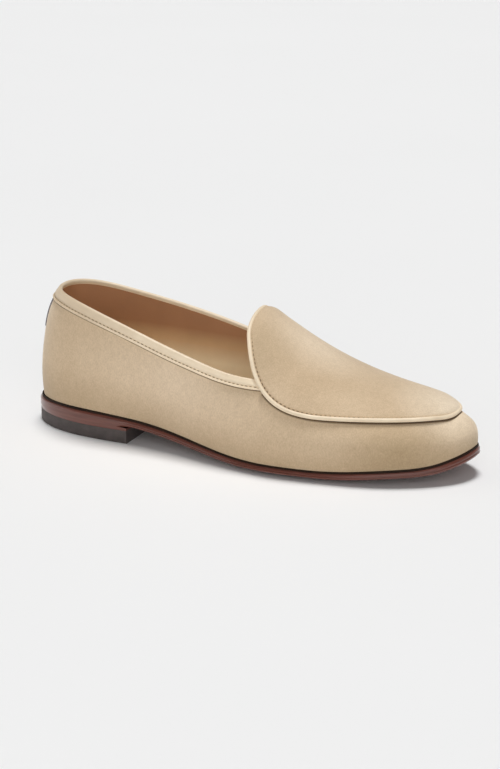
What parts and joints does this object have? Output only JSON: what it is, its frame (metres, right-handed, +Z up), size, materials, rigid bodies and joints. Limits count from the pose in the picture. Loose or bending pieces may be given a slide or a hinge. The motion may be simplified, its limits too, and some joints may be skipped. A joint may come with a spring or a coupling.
{
  "type": "suede loafer",
  "caption": "Right suede loafer: a hollow lasted upper with a piped apron front and a bound collar, on a thin leather sole with a low stacked heel.",
  "frame": {"origin": "on the floor, under the middle of the shoe's length and width", "axes": "+X from the heel to the toe, +Y to the inner side of the foot, +Z up from the floor"},
  "size_m": [0.293, 0.0952, 0.0923],
  "materials": {
    "suede": "sand-beige suede with a short matt nap",
    "trim_leather": "smooth cream leather with a soft sheen",
    "dark_tape": "matt dark grey woven tape",
    "sock_leather": "smooth brown lining leather, nearly matt",
    "welt_leather": "near-black waxed leather edge",
    "sole_leather": "red-brown leather with a burnished edge",
    "heel_rubber": "matt charcoal rubber"
  },
  "bodies": {
    "root": {"upper": "suede", "apron": "suede", "piping": "trim_leather", "topline_binding": "trim_leather", "back_tab": "dark_tape", "insole": "sock_leather", "welt": "welt_leather", "outsole": "sole_leather", "heel_lift": "sole_leather", "heel_top_piece": "heel_rubber"}
  },
  "joints": []
}
